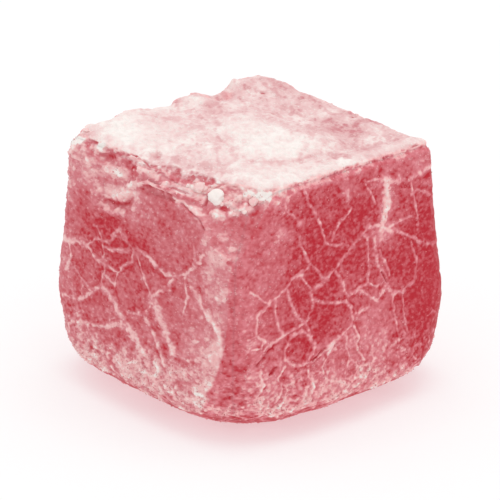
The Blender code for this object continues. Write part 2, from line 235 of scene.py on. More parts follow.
PATCHES_MINUS_Y = (
    (-7, 10.8, 2.8, 1.8, -0.13), (-3, 13.6, 5, 1.4, -0.14), (-5.5, 12.9, 0.8, 0.6, -0.14),
    (-4.8, 18, 3.8, 1.7, 0.24), (8.8, 14, 2.4, 3.8, 0.19), (-1, 4.8, 3.5, 1.6, 0.14),
    (9.3, 9, 1.6, 5, 0.17), (5, 4.6, 4, 1.6, 0.12), (-0.5, 18.6, 2, 1.2, 0.06),
    (-2.6, 12.6, 1.4, 0.6, -0.12), (-0.3, 14.6, 2, 0.6, -0.2), (-4.5, 15, 1.3, 0.7, -0.2),
    (-7.8, 15.4, 1.4, 1.4, -0.15), (4.9, 15.9, 0.9, 0.5, -0.06), (-1, 10.4, 2.4, 1.4, -0.05),
    (-2.4, 5.9, 1.8, 0.4, -0.1), (3.2, 8.2, 0.5, 0.8, -0.04), (6.8, 9, 1, 2.2, 0.06),
    (4, 10.6, 1, 1, -0.02), (6.5, 7, 5, 4.5, 0.1), (-0.5, 4.2, 6, 1.5, 0.12), (-7, 4, 3, 1.2, 0.06),
    (-9.6, 9.2, 1.1, 2.6, 0.18), (-9.6, 12, 1.2, 0.5, 0.22), (-9.8, 17.5, 1, 2.6, 0.12),
    (9.9, 13, 0.8, 3.4, 0.1), (8.9, 15.9, 1.6, 1.1, 0.18), (3, 17.4, 5, 1.4, 0.05),
    (8.7, 5.8, 1.3, 2.8, 0.27), (-1.4, 7.9, 0.6, 0.4, 0.2), (2.6, 9.9, 0.7, 0.5, 0.2),
    (3.9, 8.5, 0.7, 0.7, 0.13), (6.8, 10.5, 1.6, 2.4, 0.07), (10.2, 6.4, 0.7, 3.4, 0.34),
    (3.4, 5.3, 0.6, 0.6, 0.26), (-0.4, 4.2, 1.1, 0.7, 0.22), (6.3, 5.6, 0.7, 0.7, 0.22),
    (9.6, 10.8, 0.6, 1.2, 0.12), (5.8, 10.7, 0.3, 1, 0.2), (8, 14.6, 0.6, 0.6, 0.12),
    (-4.2, 4.6, 0.8, 0.5, 0.16), (6.6, 13.4, 1.1, 1, 0.19), (-8.5, 9.4, 1.2, 1.6, 0.11),
    (-8.7, 6.3, 0.8, 0.8, 0.18), (-8.6, 14.2, 1.2, 0.8, 0.1), (6.2, 6.8, 0.8, 1.2, 0.12),
    # The patch that takes starch away at x 3.6, z 2.8 is painted shade low on the -Y side, near the base.
    (3.2, 18.6, 1.4, 0.8, 0.09), (8, 18.6, 1.4, 0.5, 0.12), (3.6, 2.8, 4.2, 0.9, -0.22),
    (9.4, 12.3, 0.8, 1.4, -0.09), (8.3, 8.3, 1.3, 0.8, -0.07), (-4.9, 16.3, 1.3, 0.5, 0.14),
    (-3.8, 18.5, 1.3, 0.6, -0.08), (5.2, 10.2, 0.6, 1.2, 0.06), (-2.7, 5, 0.9, 0.8, 0.08),
    (-0.2, 13.1, 0.7, 0.6, 0.07), (-2, 17.1, 0.8, 0.5, 0.07), (1.3, 14.5, 0.7, 0.7, -0.05),
    # The dent: white above and below the red fold.
    (-9.6, 20.9, 1.4, 0.5, 0.5), (-8.6, 18.6, 1.8, 1.6, 0.12), (-9.9, 20, 0.7, 0.6, 0.2),
    (-10.2, 13, 0.8, 5, 0.12), (-4.2, 19.2, 1.3, 0.6, 0.4), (-5.9, 18.8, 0.8, 0.5, 0.18),
    (-4.6, 17.4, 1.2, 0.45, 0.42), (-3.1, 17.9, 0.9, 0.5, 0.44), (-2.2, 18.4, 0.6, 0.6, 0.2),
    (-1.4, 17.6, 0.9, 1.2, 0.16), (-7.4, 18.6, 0.9, 0.9, 0.14), (-4.6, 18.4, 1, 0.25, -0.12),
    (-3.4, 19.9, 1, 0.3, -0.16),
    # The shoulder, from the lip to its right border.
    (4.9, 19.1, 1.3, 0.25, 0.22), (6.5, 18.4, 0.9, 0.5, 0.16), (7.7, 17.4, 0.7, 0.8, 0.18),
    (9, 16.4, 1.4, 1, 0.16), (9.2, 18, 1, 0.6, 0.1), (8.4, 18.3, 0.5, 0.4, -0.1), (6, 19.6, 5, 1, 0.15),
    (1.2, 20.2, 1.6, 0.5, 0.12), (4.9, 20.5, 0.7, 0.28, 0.5), (4.6, 20, 1, 0.2, 0.3),
    (3.1, 20.4, 0.5, 0.25, -0.16), (0.5, 20.7, 0.5, 0.2, -0.1), (6.6, 20, 0.6, 0.6, 0.25),
    (7.7, 19.7, 0.9, 0.4, 0.3), (7.6, 19.35, 0.28, 0.16, -0.9), (8.3, 20.4, 0.5, 0.4, 0.36),
    (9.8, 20.5, 0.9, 0.5, 0.7), (9.2, 20.2, 0.3, 0.3, -0.35), (10.1, 19.5, 0.35, 0.4, -0.45),
    (9.3, 19.5, 0.5, 0.3, 0.45), (7.2, 18.8, 0.35, 0.4, 0.12), (1, 19.3, 1.8, 0.3, 0.22),
    (8.6, 19.2, 0.4, 0.3, 0.3),
)


def ease(share):
    """Run smoothly from 0 to 1, level at both ends."""
    share = np.clip(share, 0.0, 1.0)
    return share * share * (3.0 - 2.0 * share)


def ramp(value, start, end):
    """Run smoothly from 0 where the value is start to 1 where it is end."""
    return ease((value - start) / (end - start))


def cube_skin(cells):
    """Points of a cube from -1 to 1, and the point numbers of its six sides, cells along each edge.

    Each side is a grid in two parameters. Grid points that meet on an edge share one number, so
    the skin is closed. The sides come in the order -X, +X, -Y, +Y, -Z, +Z.
    """
    count = cells + 1
    across, along = np.indices((count, count))
    numbers = []
    for axis in range(3):
        for level in (0, cells):
            side = np.empty(across.shape + (3,), dtype=np.int64)
            side[..., axis] = level
            side[..., (axis + 1) % 3] = across if level else along
            side[..., (axis + 2) % 3] = along if level else across
            numbers.append(side @ np.array([1, count, count**2]))
    used, sides = np.unique(np.stack(numbers), return_inverse=True)
    places = np.stack([used % count, used // count % count, used // count**2], axis=1)
    return 2.0 * places / cells - 1.0, sides.reshape(6, count, count)


def grid_squares(numbers):
    """The squares between the points of a grid, anticlockwise seen from outside."""
    squares = [numbers[..., :-1, :-1], numbers[..., 1:, :-1], numbers[..., 1:, 1:],
               numbers[..., :-1, 1:]]
    return np.stack(squares, axis=-1).reshape(-1, 4)


def corner_rounding(level):
    """Radii along X, Y and Z for points whose level runs from -1 at the base to 1 at the top."""
    height_share = (level + 1.0) / 2.0
    tighten = ramp(height_share, 0.0, CORNER_FIRMS_UP)
    sharpen = ramp(height_share, RIM_STARTS, 1.0)
    plan = BASE_CORNER_ROUND + (SIDE_CORNER_ROUND - BASE_CORNER_ROUND) * tighten
    plan = plan + (RIM_ROUND - SIDE_CORNER_ROUND) * sharpen
    upright = np.where(level < 0.0, BASE_EDGE_ROUND, RIM_ROUND)
    return np.stack([plan, plan, upright], axis=1)


def cut_block(grid):
    """Turn points of the cube from -1 to 1 into a block whose edges are rounded by level.

    Each point goes to its place on the sharp block. The part of it that lies outside the block
    shrunk by the radii is then bent onto an ellipsoid with those radii.
    """
    half = np.array([WIDTH, DEPTH, HEIGHT]) / 2.0
    radii = corner_rounding(grid[:, 2])
    sharp = grid * half
    core = np.clip(sharp, radii - half, half - radii)
    outside = (sharp - core) / radii
    block = core + radii * outside / np.linalg.norm(outside, axis=1, keepdims=True)
    block[:, 2] += HEIGHT / 2.0
    return block


def slump(points):
    """Narrow the block above its belly, bulge its sides there, and turn its top a little."""
    x, y, z = points.T
    above_belly = np.clip((z - BELLY_HEIGHT) / (HEIGHT - BELLY_HEIGHT), 0.0, 1.0)
    narrowing = 1.0 - (1.0 - TOP_SHARE) * above_belly
    bulge = SIDE_BULGE * (1.0 - above_belly)
    across = 2.0 * x / WIDTH
    along = 2.0 * y / DEPTH
    slumped_x = x * narrowing + bulge * across * (1.0 - along**2)
    slumped_y = y * narrowing + bulge * along * (1.0 - across**2)
    turn = TWIST * (z / HEIGHT - 0.5)
    turned_x = slumped_x * np.cos(turn) - slumped_y * np.sin(turn)
    turned_y = slumped_x * np.sin(turn) + slumped_y * np.cos(turn)
    return np.stack([turned_x, turned_y, z], axis=1)


def pare(points, through, facing, softness):
    """Bring back whatever stands beyond a plane, with borders that run out softly."""
    normal = np.array(facing) / np.linalg.norm(facing)
    height = (points - np.array(through)) @ normal
    pared = -softness * np.logaddexp(0.0, -height / softness)
    return points + np.outer(pared - height, normal)


def bell(points, centre, reach):
    """1 at the centre, fading with distance as a bell curve."""
    return np.exp(-(np.linalg.norm(points - np.array(centre), axis=1) / reach) ** 2)


def nearest_on_path(points, path):
    """Distance from each point to a line through the corners of a path."""
    nearest = np.full(len(points), np.inf)
    corners = np.array(path)
    for start, end in zip(corners[:-1], corners[1:]):
        run = end - start
        share = np.clip((points - start) @ run / (run @ run), 0.0, 1.0)
        gap = np.linalg.norm(points - start - np.outer(share, run), axis=1)
        nearest = np.minimum(nearest, gap)
    return nearest


def clouds(points, size, seed, octaves=1):
    """A smooth random field from about -1 to 1, with features of one size, in millimetres, and finer
    ones in it. The number in front of a call is how far the field sways what it is added to.

    Random values on a cubic lattice are blended smoothly between the eight nearest. Each further
    octave halves the size, shifts the lattice and adds 0.55 times as much.
    """
    table = np.random.default_rng(seed).uniform(-1.0, 1.0, (32, 32, 32))
    total = np.zeros(len(points))
    weight = 1.0
    for octave in range(octaves):
        scaled = points * 2.0**octave / size + 7.3 * octave
        cell = np.floor(scaled).astype(int)
        share = ease(scaled - cell)
        for corner in np.ndindex(2, 2, 2):
            blend = np.prod(np.where(corner, share, 1.0 - share), axis=1)
            at = (cell + corner) % 32
            total += weight * blend * table[at[:, 0], at[:, 1], at[:, 2]]
        weight *= 0.55
    return 1.6 * total


def nearby_seeds(places, low, high, extra, seed):
    """Where the seeds round each place lie, box by box, each with its extra random numbers.

    One seed lies in each unit box of a cubic lattice, from low to high along each edge.
    """
    table = np.random.default_rng(seed).uniform(low, high, (32, 32, 32, 3 + extra))
    home = np.floor(places).astype(int)
    for offset in np.ndindex(3, 3, 3):
        box = home + np.array(offset) - 1
        at = box % 32
        drawn = table[at[:, 0], at[:, 1], at[:, 2]]
        yield box + drawn[:, :3], drawn[:, 3:]


def crazing(points, spacing, seed):
    """Distance from each point to the border between the random cells around it, and a number
    for the cell it is in.

    The border between the nearest two seeds is the plane halfway between them. The number is the
    fraction left of 3.7 times the sum of the nearest seed's coordinates.
    """
    first = np.full(len(points), np.inf)
    second = np.full(len(points), np.inf)
    first_seed = np.zeros_like(points)
    second_seed = np.zeros_like(points)
    for boxes, _ in nearby_seeds(points / spacing, 0.08, 0.92, 0, seed):
        seeds = boxes * spacing
        gap = np.linalg.norm(points - seeds, axis=1)
        closest = gap < first
        runner_up = ~closest & (gap < second)
        second = np.where(closest, first, np.where(runner_up, gap, second))
        second_seed = np.where(closest[:, None], first_seed,
                               np.where(runner_up[:, None], seeds, second_seed))
        first = np.where(closest, gap, first)
        first_seed = np.where(closest[:, None], seeds, first_seed)
    apart = np.linalg.norm(second_seed - first_seed, axis=1)
    border = (second**2 - first**2) / (2.0 * apart)
    return border, np.modf(np.abs(first_seed.sum(axis=1)) * 3.7)[0]


def outward(points, squares):
    """Unit normals at the points: the cross product of each square's diagonals, summed."""
    a, b, c, d = (points[squares[:, corner]] for corner in range(4))
    facing = np.repeat(np.cross(c - a, d - b), 4, axis=0)
    normals = np.stack([np.bincount(squares.ravel(), facing[:, axis], len(points))
                        for axis in range(3)], axis=1)
    return normals / np.maximum(np.linalg.norm(normals, axis=1, keepdims=True), 1e-12)


def jelly_surface(grid):
    """The block's smooth shape, inside the CAD block's box.

    It is cut, slumped and pared. Each swelling then moves it by a bell curve, and each fold by its
    lift times exp(-(distance / half width) ** 2).
    """
    points = slump(cut_block(grid))
    for facet in PARED:
        points = pare(points, *facet)
    for centre, reach, rise in SWELLINGS:
        points = points + np.outer(bell(points, centre, reach), rise)
    for half_width, lift, *path in FOLDS:
        crest = np.exp(-(nearest_on_path(points, path) / half_width) ** 2)
        points = points + np.outer(crest, lift)
    return points


def line_depth(flat, lines, widening):
    """1 on the nearest line, 0 at its edge and below 0 beyond it."""
    depth = np.full(len(flat), FAR)
    for half_width, *corners in lines:
        depth = np.maximum(depth, 1.0 - nearest_on_path(flat, corners) / (half_width * widening))
    return depth


def patches(flat, listed):
    """The sum of flat bell curves, each with its own reach along the two directions."""
    total = np.zeros(len(flat))
    for *ellipse, amount in listed:
        total += amount * np.exp(-(((flat - ellipse[:2]) / ellipse[2:]) ** 2).sum(axis=1))
    return total


FAR = -9.0  # depth of a line that is nowhere near
FINE_STRETCH = np.array([0.66, 0.80, 1.0])  # below 1 where the knife smeared the grain sideways
FACING_BORDER = 0.456  # how far from -Y towards +X the skin turns where the near sides meet
CREASE_WIDENING = 1.30  # a crease's band of starch against the crease
NET_SPACING, NET_HALF_WIDTH = 4.3, 0.18  # creases of the sides that face away
FINE_SPACING, FINE_HALF_WIDTH, FINE_HELD_BACK = 1.7, 0.22, 0.4  # the finer net low down
BESIDE_LOSS, CRACK_AND_SHADE_LOSS, FOOT_SHADE_LOSS = 0.08, 0.38, 0.58  # of starch: beside creases, in cracks and in folds, whose dark red there is painted shade, and on the foot, whose bare dark red is painted contact shade
SIDE_PAINTED_GREYNESS = 0.40  # of the -Y side, between the +X side, painted redder for red light bounced and passed through the jelly, and the top, painted greyer as shade
PUFF_HEIGHT, PUFF_SINK, PUFF_REACH = 0.08, 0.05, 0.6  # the cells between the creases
CREASE_LIFT, CLOUD_RELIEF, CRACK_DEPTH = 0.02, 0.03, 0.16
TORN_RELIEF, TORN_REACH, TOP_SETTLES = 0.22, 1.8, 0.10
FLAT_BELOW = 1.8  # relief dies away from here down to the level base


def skin_fields(points, normals):
    """How the skin varies over the block: creased, covered with starch, raised, and painted greyness, one
    number a point for each.

    Creased is 1 along a crease, from the lists of the two near sides, and elsewhere from the borders of
    random cells, one net large and one small. Covered runs from 0, bare jelly, to 1, white, and over 1 in
    a heap: listed patches and clouds, more low down, and less beside creases, in cracks, in folds, whose
    dark red is painted shade, and on the foot, whose bare dark red is painted contact shade. Raised is
    the relief in millimetres: cells puffed up between the creases, cloudy roughness, open cracks and the
    torn rim. Painted greyness is 1 on the level top, where the starch is painted greyer as shade, and
    lower on the sides, where it is painted redder for the red light bounced and passed through the jelly.
    """
    height = points[:, 2]
    in_upper_half = height > HEIGHT / 2.0
    smeared = points * FINE_STRETCH
    wobble = np.stack([clouds(points, 0.9, seed, 2) for seed in (1, 2, 3)], axis=1)
    wandering = points + 0.05 * wobble + 0.05 * clouds(smeared, 0.35, 6)[:, None] * (1.0, 1.0, -1.0)
    widening = CREASE_WIDENING + 0.30 * clouds(smeared, 0.6, 4, 2) + 0.26 * clouds(smeared, 0.22, 5)

    # How far each point belongs to the near sides, and what is listed for them.
    towards_x = normals[:, 0] + FACING_BORDER * normals[:, 1] - np.maximum(normals[:, 2], 0.0)
    towards_x = ramp(towards_x + 0.03 * wobble[:, 0], -0.05, 0.05) * ramp(normals[:, 0], 0.0, 0.3)
    towards_y = (1.0 - towards_x) * ramp(-normals[:, 1], 0.2, 0.4)
    covered = SIDE_COVER + 0.05 * clouds(points, 3.0, 15, 2)
    drawn = np.full(len(points), FAR)
    cracked_or_shaded = np.full(len(points), FAR)
    for share, axes, creases, shades_and_cracks, listed in (
            (towards_x, (1, 2), CREASES_PLUS_X, FOLD_SHADES_AND_CRACKS_PLUS_X, PATCHES_PLUS_X),
            (towards_y, (0, 2), CREASES_MINUS_Y, FOLD_SHADES_AND_CRACKS_MINUS_Y, PATCHES_MINUS_Y)):
        here = share > 0.5
        flat = wandering[here][:, axes]
        drawn[here] = line_depth(flat, creases, widening[here])
        cracked_or_shaded[here] = line_depth(flat, shades_and_cracks, widening[here])
        covered += share * patches(points[:, axes], listed)
    cracked_or_shaded = np.clip(cracked_or_shaded, 0.0, 1.0)
    # The -Y side holds a little more cover all over: painted light that makes that side lighter.
    covered += 0.02 * towards_y
    beside = np.exp(-((drawn + 0.6) / 0.45) ** 2)
    covered -= (BESIDE_LOSS + 0.07 * clouds(smeared, 0.7, 37)) * beside

    # The two nets of random cells, the fine one only in places.
    low = ramp(height, 10.0, 4.0)
    border, cell_number = crazing(points + 0.45 * wobble, NET_SPACING, 11)
    fine_border, _ = crazing(points + 0.12 * wobble, FINE_SPACING, 12)
    elsewhere = np.maximum(towards_x, towards_y) <= 0.5
    net = np.where(elsewhere, 1.0 - border / (NET_HALF_WIDTH * widening), FAR)
    fine_shown = 0.55 * low - 0.35 * towards_y * ramp(height, 5.0, 7.0)
    fine_shown = ease(fine_shown + 0.7 * clouds(points, 2.4, 14))
    fine_net = fine_shown - FINE_HELD_BACK - fine_border / (FINE_HALF_WIDTH * widening)
    creased = np.clip(np.maximum(np.maximum(drawn, net), fine_net), 0.0, 1.0) * (1.0 - cracked_or_shaded)

    # Clouds of starch and grain, the thick band low down, and the bare dark red foot under it, painted
    # contact shade.
    covered += 0.04 * (cell_number - 0.5) + (0.07 + 0.05 * low) * clouds(smeared, 0.8, 18, 2)
    covered += (0.05 + 0.10 * low) * clouds(smeared, 0.26, 19, 2)
    covered += 0.10 * ramp(height, 7.0, 2.0) + (0.31 + 0.02 * towards_y) * ramp(height, 5.0, 2.0)
    covered += 0.07 * towards_y * ramp(height, 7.0, 4.5)
    facing_down = 0.05 * wobble[:, 0] + 0.08 * clouds(points, 1.2, 38, 2) - normals[:, 2]
    covered -= FOOT_SHADE_LOSS * ramp(facing_down, 0.58, 0.80) + CRACK_AND_SHADE_LOSS * cracked_or_shaded

    # The relief, and the painted greyness: painted shade greying the starch on the level top, painted red
    # light on the sides.
    puffed = PUFF_HEIGHT * (1.0 - np.exp(-np.maximum(border, 0.0) / PUFF_REACH)) - PUFF_SINK
    raised = puffed + CREASE_LIFT * creased + CLOUD_RELIEF * clouds(smeared, 0.6, 16, 2)
    raised -= CRACK_DEPTH * cracked_or_shaded + TOP_SETTLES * ramp(normals[:, 2], 0.3, 0.8) * in_upper_half
    torn_rim = bell(points * (1.0, 0.0, 1.0), (-10.6, 0.0, 21.0), TORN_REACH)
    raised += TORN_RELIEF * torn_rim * clouds(points, 1.7, 17, 2)
    raised *= ramp(height, 0.0, FLAT_BELOW)
    level = ramp(normals[:, 2], 0.80, 0.95) * in_upper_half
    return creased, np.clip(covered, 0.02, 1.3), raised, np.maximum(SIDE_PAINTED_GREYNESS * towards_y, level)


def feed(tree, node, inputs):
    """Give a node's inputs values or other nodes' outputs."""
    for name, value in inputs.items():
        if isinstance(value, bpy.types.NodeSocket):
            tree.links.new(value, node.inputs[name])
        else:
            node.inputs[name].default_value = value


def place(tree, kind, inputs, **settings):
    """Add a shader node, choose its settings and feed it."""
    node = tree.nodes.new("ShaderNode" + kind)
    for name, value in settings.items():
        setattr(node, name, value)
    feed(tree, node, inputs)
    return node


def maths(tree, operation, *values, clamp=False):
    """The output of a Math node fed with values or other nodes' outputs."""
    node = place(tree, "Math", dict(enumerate(values)), operation=operation, use_clamp=clamp)
    return node.outputs[0]


BARE_JELLY = (0.52, 0.020, 0.036)
# Starch at the two middle covers, painted redder for the red light bounced and passed through the jelly,
# and painted greyer for shade on the top.
MIDDLE_COVERS = (0.5, 0.8)
RED_LIT_STARCH = ((0.765, 0.25, 0.285), (0.98, 0.56, 0.55))
GREY_SHADED_STARCH = ((0.64, 0.25, 0.270), (0.83, 0.56, 0.555))
WHITE_STARCH = (0.965, 0.88, 0.84)
GRAIN_SHARE = 0.85  # of the grains show under a full cover
GRAIN_GAIN = 0.25  # what a grain adds to the cover
CALM_FROM, CALMEST = 1.15, 0.22  # a thick cover hides the noise
STARCH_SHEEN = 0.15


def starch_dusting():
    """Starch on jelly: grains too fine for the mesh, and the colour of each depth of starch.

    The cover is raised and lowered by fine noise, and by single grains, which are the cells of a random
    cell pattern whose number is below the cover. The noise calms as the cover grows. The colour goes from
    bare jelly through stained starch to white, along a red-lit ramp and a grey-shaded one, blended by the
    painted greyness: painted red light on the sides and painted shade on the top.
    """
    tree = bpy.data.node_groups.new("starch dusting", "ShaderNodeTree")
    for socket in ("Cover", "Painted Greyness", "Contrast"):
        tree.interface.new_socket(socket, in_out="INPUT", socket_type="NodeSocketFloat")
    for socket, kind in (("Colour", "Color"), ("Powder", "Float"), ("Height", "Float")):
        tree.interface.new_socket(socket, in_out="OUTPUT", socket_type="NodeSocket" + kind)
    given = tree.nodes.new("NodeGroupInput").outputs
    place_here = place(tree, "TexCoord", {}).outputs["Object"]
    in_mm = place(tree, "VectorMath", {0: place_here, 1: FINE_STRETCH / MM},
                  operation="MULTIPLY").outputs[0]
    fine = place(tree, "TexNoise", {"Vector": in_mm, "Scale": 3.2, "Detail": 2.0,
                                    "Roughness": 0.6}).outputs["Fac"]
    grains = place(tree, "TexVoronoi", {"Vector": in_mm, "Scale": 5.2}).outputs
    grain_number = place(tree, "SeparateColor", {"Color": grains["Color"]}).outputs[0]
    grain_dome = place(tree, "MapRange", {"Value": grains["Distance"], "From Min": 0.42,
                                          "From Max": 0.18},
                       interpolation_type="SMOOTHSTEP").outputs[0]
    share_shown = maths(tree, "MULTIPLY", given["Cover"], GRAIN_SHARE)
    shown = maths(tree, "LESS_THAN", grain_number, share_shown)
    grain = maths(tree, "MULTIPLY", grain_dome, shown)
    calmer = maths(tree, "MAXIMUM", maths(tree, "SUBTRACT", CALM_FROM, given["Cover"]), CALMEST)
    strength = maths(tree, "MULTIPLY", given["Contrast"], calmer)
    sway = maths(tree, "MULTIPLY", maths(tree, "SUBTRACT", fine, 0.5), strength)
    grain_gain = maths(tree, "MULTIPLY", calmer, GRAIN_GAIN)
    loaded = maths(tree, "MULTIPLY_ADD", grain, grain_gain, maths(tree, "ADD", given["Cover"], sway))
    powder = maths(tree, "MAXIMUM", loaded, 0.0, clamp=True)
    colours = []
    for tints in (RED_LIT_STARCH, GREY_SHADED_STARCH):
        along = place(tree, "ValToRGB", {"Fac": powder})
        stops = along.color_ramp.elements
        stops[0].color = (*BARE_JELLY, 1.0)
        stops[1].color = (*WHITE_STARCH, 1.0)
        for middle_cover, tint in zip(MIDDLE_COVERS, tints):
            stops.new(middle_cover).color = (*tint, 1.0)
        colours.append(along.outputs["Color"])
    blend = place(tree, "Mix", {0: given["Painted Greyness"], 6: colours[0], 7: colours[1]}, data_type="RGBA")
    feed(tree, tree.nodes.new("NodeGroupOutput"), {
        "Colour": blend.outputs[2], "Powder": powder, "Height": maths(tree, "ADD", grain, fine)})
    return tree


def starched(name, dusting, contrast, grain_height, bare_rough, powder_rough, glow, glow_reach):
    """A material of jelly and starch, from the mesh's cover and painted greyness attributes.

    The finest grains stand grain_height millimetres high. Roughness goes from the bare jelly's to
    the powder's with the powder. Glow is how much light the piece scatters within glow_reach
    millimetres.
    """
    material = bpy.data.materials.new(name)
    material.use_nodes = True
    tree = material.node_tree
    cover, painted_greyness = (place(tree, "Attribute", {}, attribute_name=name).outputs["Fac"]
                      for name in ("cover", "painted_greyness"))
    coat = place(tree, "Group", {}, node_tree=dusting)
    feed(tree, coat, {"Cover": cover, "Painted Greyness": painted_greyness, "Contrast": contrast})
    roughness = place(tree, "MapRange", {"Value": coat.outputs["Powder"], "To Min": bare_rough,
                                         "To Max": powder_rough}).outputs[0]
    bump = place(tree, "Bump", {"Height": coat.outputs["Height"], "Distance": grain_height * MM})
    feed(tree, tree.nodes["Principled BSDF"], {
        "Subsurface Weight": glow, "Subsurface Radius": (1.0, 1.0, 1.0),
        "Subsurface Scale": glow_reach * MM, "Specular IOR Level": STARCH_SHEEN,
        "Base Color": coat.outputs["Colour"], "Roughness": roughness,
        "Normal": bump.outputs["Normal"]})
    return material


def put(name, data):
    """A new object in the scene, at the origin."""
    thing = bpy.data.objects.new(name, data)
    bpy.context.scene.collection.objects.link(thing)
    return thing


def new_piece(name, points, faces, material, cover, painted_greyness):
    """A mesh object that rides the root body, from points in millimetres, arrays of equal-sided faces,
    and a cover and a painted greyness for each point.
    """
    mesh = bpy.data.meshes.new(name)
    sides = np.concatenate([np.full(len(block), block.shape[1]) for block in faces])
    mesh.vertices.add(len(points))
    mesh.vertices.foreach_set("co", (points * MM).ravel())
    mesh.loops.add(int(sides.sum()))
    mesh.loops.foreach_set("vertex_index", np.concatenate([block.ravel() for block in faces]))
    mesh.polygons.add(len(sides))
    mesh.polygons.foreach_set("loop_start", np.cumsum(sides) - sides)
    mesh.update(calc_edges=True)
    for attribute, values in (("cover", cover), ("painted_greyness", painted_greyness)):
        values = np.broadcast_to(values, len(points))
        mesh.attributes.new(attribute, "FLOAT", "POINT").data.foreach_set("value", values)
    mesh.shade_smooth()
    mesh.materials.append(material)
    piece = put(name, mesh)
    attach(piece, "root")
    return piece


grid, sides = cube_skin(SKIN_CELLS)
smooth = jelly_surface(grid)
centring = np.append((BOX_LOW + BOX_HIGH - smooth.min(axis=0) - smooth.max(axis=0))[:2] / 2.0, 0.0)
normals = outward(smooth, grid_squares(sides))
_, covered, raised, painted_greyness = skin_fields(smooth, normals)
dusting = starch_dusting()
skin_looks = starched("dusted rose jelly", dusting, contrast=0.60, grain_height=0.035,
                      bare_rough=0.45, powder_rough=0.95, glow=0.35, glow_reach=0.30)
sunk = smooth + normals * (raised - SUNK)[:, None] + (0.0, 0.0, SUNK) + centring
jelly = new_piece("jelly_block", sunk, [grid_squares(sides)], skin_looks, covered, painted_greyness)
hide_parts("delight_cube")

# ---- The starched skin ----
# The jelly's damp outer skin, with the corn starch and icing sugar that were sieved over it and pressed
# on: thickly caked on the top and ragged at its rims, packed into the creases of the sides and clotted
# between them, and gone from the foot, whose bare dark red is painted contact shade. Six sheets, one a
# side, that meet at the edges.

COAT_CELLS = 300  # squares along each edge of a side
BACK_DEPTH = 2.4  # how deep the hidden back of a sheet lies in the jelly
BACK_COVER = 0.8
# Where the top's cake begins behind the pared -Y rim, as places along X and Y.
TOP_EDGE_X = (-12.5, -8.0, -5.0, -2.0, -0.5, 0.6, 1.8, 2.9, 5.0, 7.0, 9.3, 10.5, 12.0)
TOP_EDGE_Y = (-11.0, -10.8, -10.4, -10.0, -9.6, -9.3, -8.6, -8.1, -8.5, -8.1, -7.2, -6.6, -6.0)
# Heaps and thin places on the top: a centre and a reach, each along X and Y, and how much it adds
# in millimetres of depth and in whiteness.
HEAPS = (
    (1.4, 0.4, 4.6, 2.8, 0.15, 0.19), (7.2, -4.6, 3.4, 3.2, 0.12, 0.18),
    (-5.5, -8.2, 4.2, 1.9, 0.12, 0.16), (-8.6, 1.8, 0.9, 1.2, 0.1, 0.12),
    (-9.3, -1.6, 0.7, 0.9, 0.08, 0.1), (9.6, 0, 0.8, 4, 0.05, 0.1), (9.6, 7.5, 0.7, 3, 0.03, 0.12),
    (-6, -4.8, 3.4, 2.4, 0.02, 0.07), (5.6, 8.6, 1.3, 0.8, 0.05, 0.14), (-9.2, -6, 1, 2, 0.08, 0.08),
    (3.2, 6.6, 2.3, 1.8, -0.06, -0.2), (-6.4, 1.5, 1.4, 0.8, -0.04, -0.12),
    (-3.7, -0.9, 1.3, 0.6, -0.04, -0.12), (6.2, -1.8, 0.9, 2.4, -0.04, -0.12),
    (-3, -5, 2.6, 1.8, -0.04, -0.03), (-8, 5, 1.5, 1.1, -0.03, -0.1),
    (-2.5, 7.5, 1.2, 1.6, -0.03, -0.1), (1.5, -6.8, 1.6, 1, -0.04, -0.06),
    (7.8, 5, 0.9, 2.5, -0.03, -0.02), (-7, 9.4, 2.2, 0.6, -0.02, -0.16),
    (1.4, 9.7, 2.4, 0.5, -0.02, -0.16), (-1.7, -8.5, 0.5, 0.5, -0.12, -0.3),
    (1.7, -5.2, 1.3, 1.3, 0.01, 0.11), (-4.3, 6.5, 0.9, 0.9, 0.01, 0.07),
    (-3, 2.2, 1.2, 1.4, 0.01, 0.06), (-7, -1.6, 1, 0.8, 0.01, 0.06),
    (5.4, -4.6, 0.9, 1.6, -0.01, -0.08), (2.6, 3.3, 1.9, 0.8, -0.01, -0.08),
    (-2, -7.3, 1.1, 0.7, -0.01, -0.05), (-6.7, 7.1, 0.25, 0.18, -0.3, -0.5),
    (-2.7, 4.7, 0.2, 0.15, -0.25, -0.45),
)

# Faint creases in the cake of starch, drawn only as painted shade that greys the white along them: a half
# width and the corners of the line, as (x, y).
TOP_CREASE_SHADES = (
    (0.3, (-3.2, -7.2), (-1.9, -8.2), (-0.4, -9.2)), (0.34, (-6.4, 1.4), (-4.4, 0), (-2.6, -1)),
    (0.26, (2.7, 4), (4.6, 2.6)), (0.34, (6.8, 1), (6.4, -1), (5.5, -2.6), (4, -4)),
    (0.24, (0.6, -4), (2.6, -5.6), (4.6, -7.3)), (0.22, (-9, -4.4), (-8, -3.4), (-6.6, -3)),
    (0.26, (-6.4, 4.6), (-4.6, 3.6), (-3.4, 2.2)), (0.24, (4.6, 7.4), (6.2, 6.2), (7.6, 4.4)),
    (0.22, (-1, -2.6), (1.2, -3), (3.2, -4.4)), (0.2, (7.8, 3.2), (9.4, 2.8)),
)

BRUSHED_ALONG = np.array([0.77, -0.64, 0.0])  # loose starch was brushed off the top this way
GRAIN_SIZE, SMALL_GRAIN_SIZE = 0.42, 0.25
CAKE_DEPTH, CAKE_WHITE, CAKE_CREASE_SHADE = 0.15, 0.85, 0.09
HEAP_WHITENESS = 0.75
# What packed creases, islands, specks and pits add, in millimetres of depth and in whiteness.
PACKED_DEPTH, PACKED_WHITE = 0.035, 0.38
ISLAND_DEPTH, ISLAND_WHITE = 0.05, 0.12
SPECK_DEPTH, SPECK_WHITE = 0.03, 0.10
PIT_DEPTH, PIT_WHITE = 0.015, 0.12


